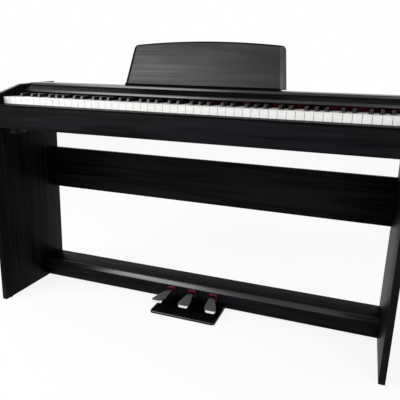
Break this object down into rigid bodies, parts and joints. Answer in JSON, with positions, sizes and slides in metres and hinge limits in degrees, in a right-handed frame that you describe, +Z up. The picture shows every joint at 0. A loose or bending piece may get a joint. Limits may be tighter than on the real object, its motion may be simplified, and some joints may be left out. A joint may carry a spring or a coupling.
{
  "type": "digital piano on stand",
  "caption": "Black digital piano on a panel stand: full keyboard, sloped control strip, removable music rest, modesty board and three working pedals on a base plate.",
  "frame": {"origin": "on the floor, under the centre of the side boards' box", "axes": "+X towards the treble end, +Y towards the back, +Z up"},
  "size_m": [1.264, 0.331, 0.8908],
  "materials": {
    "case_board": "black wood-grain board, satin",
    "inner_board": "black painted board",
    "panel_plastic": "satin black",
    "rest_plastic": "satin black with fine grain",
    "ivory": "satin white",
    "ebony": "satin black",
    "red_felt": "dark red felt",
    "dark_felt": "dark felt",
    "button_plastic": "satin black",
    "circuit_board": "green board",
    "dome_rubber": "matt",
    "glide_plastic": "matt",
    "bright_metal": "satin polished",
    "steel": "zinc plated",
    "speaker_cone": "matt",
    "grille_metal": "black painted"
  },
  "bodies": {
    "case": {"bottom_board": "case_board", "bottom_front_board": "case_board", "contact_board": "circuit_board", "contact_domes": "dome_rubber", "control_board": "circuit_board", "fascia": "panel_plastic", "floor_glides": "glide_plastic", "front_rail": "case_board", "headphone_box": "panel_plastic", "key_felt_strip": "red_felt", "key_frame": "steel", "key_pivot_rod": "steel", "key_slip": "panel_plastic", "key_springs": "steel", "key_stop_felt": "dark_felt", "keybed": "inner_board", "main_board": "circuit_board", "modesty_board": "case_board", "mounting_bolts": "grille_metal", "mounting_brackets": "grille_metal", "nosing": "panel_plastic", "pedal_axle": "steel", "pedal_base_plate": "panel_plastic", "pedal_bracket": "steel", "pedal_felts": "red_felt", "pedal_sensor_board": "circuit_board", "pedal_springs": "steel", "power_inlet": "panel_plastic", "rear_panel": "inner_board", "side_board_left": "case_board", "side_board_right": "case_board", "speaker_grilles": "grille_metal", "speakers": "speaker_cone", "top_panel": "panel_plastic"},
    "white_keys_bass": {"white_keys_bass": "ivory"},
    "black_keys_bass": {"black_keys_bass": "ebony"},
    "key_c": {"key_c": "ivory"},
    "key_c_sharp": {"key_c_sharp": "ebony"},
    "key_d": {"key_d": "ivory"},
    "key_d_sharp": {"key_d_sharp": "ebony"},
    "key_e": {"key_e": "ivory"},
    "key_f": {"key_f": "ivory"},
    "key_f_sharp": {"key_f_sharp": "ebony"},
    "key_g": {"key_g": "ivory"},
    "key_g_sharp": {"key_g_sharp": "ebony"},
    "key_a": {"key_a": "ivory"},
    "key_a_sharp": {"key_a_sharp": "ebony"},
    "key_b": {"key_b": "ivory"},
    "white_keys_treble": {"white_keys_treble": "ivory"},
    "black_keys_treble": {"black_keys_treble": "ebony"},
    "soft_pedal": {"soft_pedal": "bright_metal"},
    "sostenuto_pedal": {"sostenuto_pedal": "bright_metal"},
    "damper_pedal": {"damper_pedal": "bright_metal"},
    "music_rest_unit": {"music_rest": "rest_plastic", "music_ledge": "rest_plastic", "music_rest_pegs": "steel"},
    "power_button": {"power_button": "button_plastic"},
    "piano_button": {"piano_button": "button_plastic"},
    "metronome_button": {"metronome_button": "button_plastic"},
    "volume_knob": {"volume_knob": "button_plastic"}
  },
  "joints": [
    {"name": "white_keys_bass_press", "type": "hinge", "parent": "case", "child": "white_keys_bass", "pos_m": [0, 0.1315, 0.693], "axis": [1, 0, 0], "range_deg": [0, 2.41], "stiffness_Nm_per_rad": 17.25, "springref_deg": -11.46},
    {"name": "black_keys_bass_press", "type": "hinge", "parent": "case", "child": "black_keys_bass", "pos_m": [0, 0.1315, 0.693], "axis": [1, 0, 0], "range_deg": [0, 2.41], "stiffness_Nm_per_rad": 7.2, "springref_deg": -11.46},
    {"name": "key_c_press", "type": "hinge", "parent": "case", "child": "key_c", "pos_m": [0, 0.1315, 0.693], "axis": [1, 0, 0], "range_deg": [0, 2.41], "stiffness_Nm_per_rad": 0.75, "springref_deg": -11.46},
    {"name": "key_c_sharp_press", "type": "hinge", "parent": "case", "child": "key_c_sharp", "pos_m": [0, 0.1315, 0.693], "axis": [1, 0, 0], "range_deg": [0, 2.41], "stiffness_Nm_per_rad": 0.45, "springref_deg": -11.46},
    {"name": "key_d_press", "type": "hinge", "parent": "case", "child": "key_d", "pos_m": [0, 0.1315, 0.693], "axis": [1, 0, 0], "range_deg": [0, 2.41], "stiffness_Nm_per_rad": 0.75, "springref_deg": -11.46},
    {"name": "key_d_sharp_press", "type": "hinge", "parent": "case", "child": "key_d_sharp", "pos_m": [0, 0.1315, 0.693], "axis": [1, 0, 0], "range_deg": [0, 2.41], "stiffness_Nm_per_rad": 0.45, "springref_deg": -11.46},
    {"name": "key_e_press", "type": "hinge", "parent": "case", "child": "key_e", "pos_m": [0, 0.1315, 0.693], "axis": [1, 0, 0], "range_deg": [0, 2.41], "stiffness_Nm_per_rad": 0.75, "springref_deg": -11.46},
    {"name": "key_f_press", "type": "hinge", "parent": "case", "child": "key_f", "pos_m": [0, 0.1315, 0.693], "axis": [1, 0, 0], "range_deg": [0, 2.41], "stiffness_Nm_per_rad": 0.75, "springref_deg": -11.46},
    {"name": "key_f_sharp_press", "type": "hinge", "parent": "case", "child": "key_f_sharp", "pos_m": [0, 0.1315, 0.693], "axis": [1, 0, 0], "range_deg": [0, 2.41], "stiffness_Nm_per_rad": 0.45, "springref_deg": -11.46},
    {"name": "key_g_press", "type": "hinge", "parent": "case", "child": "key_g", "pos_m": [0, 0.1315, 0.693], "axis": [1, 0, 0], "range_deg": [0, 2.41], "stiffness_Nm_per_rad": 0.75, "springref_deg": -11.46},
    {"name": "key_g_sharp_press", "type": "hinge", "parent": "case", "child": "key_g_sharp", "pos_m": [0, 0.1315, 0.693], "axis": [1, 0, 0], "range_deg": [0, 2.41], "stiffness_Nm_per_rad": 0.45, "springref_deg": -11.46},
    {"name": "key_a_press", "type": "hinge", "parent": "case", "child": "key_a", "pos_m": [0, 0.1315, 0.693], "axis": [1, 0, 0], "range_deg": [0, 2.41], "stiffness_Nm_per_rad": 0.75, "springref_deg": -11.46},
    {"name": "key_a_sharp_press", "type": "hinge", "parent": "case", "child": "key_a_sharp", "pos_m": [0, 0.1315, 0.693], "axis": [1, 0, 0], "range_deg": [0, 2.41], "stiffness_Nm_per_rad": 0.45, "springref_deg": -11.46},
    {"name": "key_b_press", "type": "hinge", "parent": "case", "child": "key_b", "pos_m": [0, 0.1315, 0.693], "axis": [1, 0, 0], "range_deg": [0, 2.41], "stiffness_Nm_per_rad": 0.75, "springref_deg": -11.46},
    {"name": "white_keys_treble_press", "type": "hinge", "parent": "case", "child": "white_keys_treble", "pos_m": [0, 0.1315, 0.693], "axis": [1, 0, 0], "range_deg": [0, 2.41], "stiffness_Nm_per_rad": 16.5, "springref_deg": -11.46},
    {"name": "black_keys_treble_press", "type": "hinge", "parent": "case", "child": "black_keys_treble", "pos_m": [0, 0.1315, 0.693], "axis": [1, 0, 0], "range_deg": [0, 2.41], "stiffness_Nm_per_rad": 6.75, "springref_deg": -11.46},
    {"name": "soft_pedal_press", "type": "hinge", "parent": "case", "child": "soft_pedal", "pos_m": [-0.078, 0.1315, 0.047], "axis": [1, 0, 0], "range_deg": [0, 4.5], "stiffness_Nm_per_rad": 15, "springref_deg": -4.58},
    {"name": "sostenuto_pedal_press", "type": "hinge", "parent": "case", "child": "sostenuto_pedal", "pos_m": [0, 0.1315, 0.047], "axis": [1, 0, 0], "range_deg": [0, 4.5], "stiffness_Nm_per_rad": 15, "springref_deg": -4.58},
    {"name": "damper_pedal_press", "type": "hinge", "parent": "case", "child": "damper_pedal", "pos_m": [0.078, 0.1315, 0.047], "axis": [1, 0, 0], "range_deg": [0, 4.5], "stiffness_Nm_per_rad": 15, "springref_deg": -4.58},
    {"name": "music_rest_lift", "type": "slide", "parent": "case", "child": "music_rest_unit", "axis": [0, 0, 1], "range_m": [0, 0.03]},
    {"name": "power_button_press", "type": "slide", "parent": "case", "child": "power_button", "axis": [0, 0.3801, -0.9249], "range_m": [0, 0.001], "stiffness_N_per_m": 300, "springref_m": -0.002},
    {"name": "piano_button_press", "type": "slide", "parent": "case", "child": "piano_button", "axis": [0, 0.3801, -0.9249], "range_m": [0, 0.001], "stiffness_N_per_m": 300, "springref_m": -0.002},
    {"name": "metronome_button_press", "type": "slide", "parent": "case", "child": "metronome_button", "axis": [0, 0.3801, -0.9249], "range_m": [0, 0.001], "stiffness_N_per_m": 300, "springref_m": -0.002},
    {"name": "volume_knob_turn", "type": "hinge", "parent": "case", "child": "volume_knob", "pos_m": [0.596, 0.01957, 0.73542], "axis": [0, -0.3801, 0.9249], "range_deg": [-140, 140]}
  ]
}
